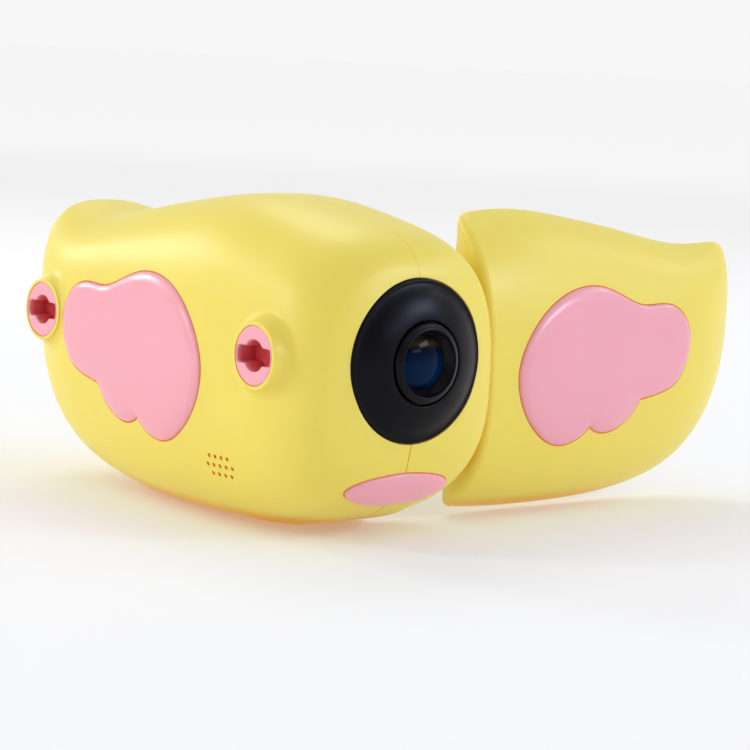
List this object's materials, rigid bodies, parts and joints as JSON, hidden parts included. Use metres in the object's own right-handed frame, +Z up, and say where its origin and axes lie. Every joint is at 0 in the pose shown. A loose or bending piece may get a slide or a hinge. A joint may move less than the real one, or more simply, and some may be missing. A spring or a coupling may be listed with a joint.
{
  "type": "toy camcorder",
  "caption": "Toy camcorder in the shape of a small round bird, with a front lens, strap sockets, wing inlays and a flip-out screen panel on a vertical hinge.",
  "frame": {"origin": "middle of the flat foot under the body, on the surface it stands on", "axes": "+Z up; -Y the way the lens looks; +X towards the flip-out screen side. The screen panel is stored open by 90 degrees."},
  "size_m": [0.1455, 0.1196, 0.0674],
  "materials": {
    "yellow_plastic": "satin, very fine moulded texture",
    "pink_plastic": "satin",
    "black_gloss": "satin gloss",
    "black_satin": "satin",
    "cover_glass": "clear, coated blue",
    "lens_glass": "coated",
    "sensor_chip": "matte",
    "circuit_board": "solder mask",
    "battery_wrap": "foil pouch",
    "steel": "bright",
    "light_pipe": "clear",
    "magnet_plating": "nickel plated",
    "button_plastic": "satin",
    "record_plastic": "satin",
    "screen_glass": "clear with a dark border",
    "lcd_black": "smooth"
  },
  "bodies": {
    "body": {"right_shell": "yellow_plastic", "left_shell": "yellow_plastic", "right_wing_inlay": "pink_plastic", "beak_inlay": "pink_plastic", "front_strap_socket": "pink_plastic", "rear_strap_socket": "pink_plastic", "lens_ring": "black_gloss", "lens_barrel": "black_satin", "lens_cover_glass": "cover_glass", "lens_carrier": "black_satin", "objective_lenses": "lens_glass", "sensor_holder": "black_satin", "image_sensor": "sensor_chip", "sensor_board": "circuit_board", "main_board": "circuit_board", "processor": "sensor_chip", "battery": "battery_wrap", "speaker": "steel", "microphone": "steel", "status_light": "light_pipe", "card_socket": "steel", "usb_port": "steel", "tail_board": "circuit_board", "switch_board": "circuit_board", "tact_switches": "black_satin", "body_magnet": "magnet_plating", "body_screws": "steel", "hinge_pin": "steel", "hinge_washers": "steel"},
    "screen_panel": {"panel_shell": "yellow_plastic", "panel_wing_inlay": "pink_plastic", "panel_bezel": "yellow_plastic", "screen_window": "screen_glass", "lcd_module": "lcd_black", "screen_board": "circuit_board", "panel_magnet": "magnet_plating", "panel_screws": "steel", "hinge_arm": "yellow_plastic", "hinge_screws": "steel"},
    "power_button": {"power_button": "button_plastic"},
    "mode_button": {"mode_button": "button_plastic"},
    "ok_button": {"ok_button": "button_plastic"},
    "up_button": {"up_button": "button_plastic"},
    "down_button": {"down_button": "button_plastic"},
    "record_button": {"record_button": "record_plastic"}
  },
  "joints": [
    {"name": "screen_hinge", "type": "hinge", "parent": "body", "child": "screen_panel", "pos_m": [0.02, -0.0336, 0.0334], "axis": [0, 0, 1], "range_deg": [0, 90]},
    {"name": "power_press", "type": "slide", "parent": "body", "child": "power_button", "axis": [-1, 0, 0], "range_m": [0, 0.0006], "stiffness_N_per_m": 1500},
    {"name": "mode_press", "type": "slide", "parent": "body", "child": "mode_button", "axis": [-1, 0, 0], "range_m": [0, 0.0006], "stiffness_N_per_m": 1500},
    {"name": "ok_press", "type": "slide", "parent": "body", "child": "ok_button", "axis": [-1, 0, 0], "range_m": [0, 0.0006], "stiffness_N_per_m": 1500},
    {"name": "up_press", "type": "slide", "parent": "body", "child": "up_button", "axis": [-1, 0, 0], "range_m": [0, 0.0006], "stiffness_N_per_m": 1500},
    {"name": "down_press", "type": "slide", "parent": "body", "child": "down_button", "axis": [-1, 0, 0], "range_m": [0, 0.0006], "stiffness_N_per_m": 1500},
    {"name": "record_press", "type": "slide", "parent": "body", "child": "record_button", "axis": [0, -1, 0], "range_m": [0, 0.0006], "stiffness_N_per_m": 1500}
  ]
}
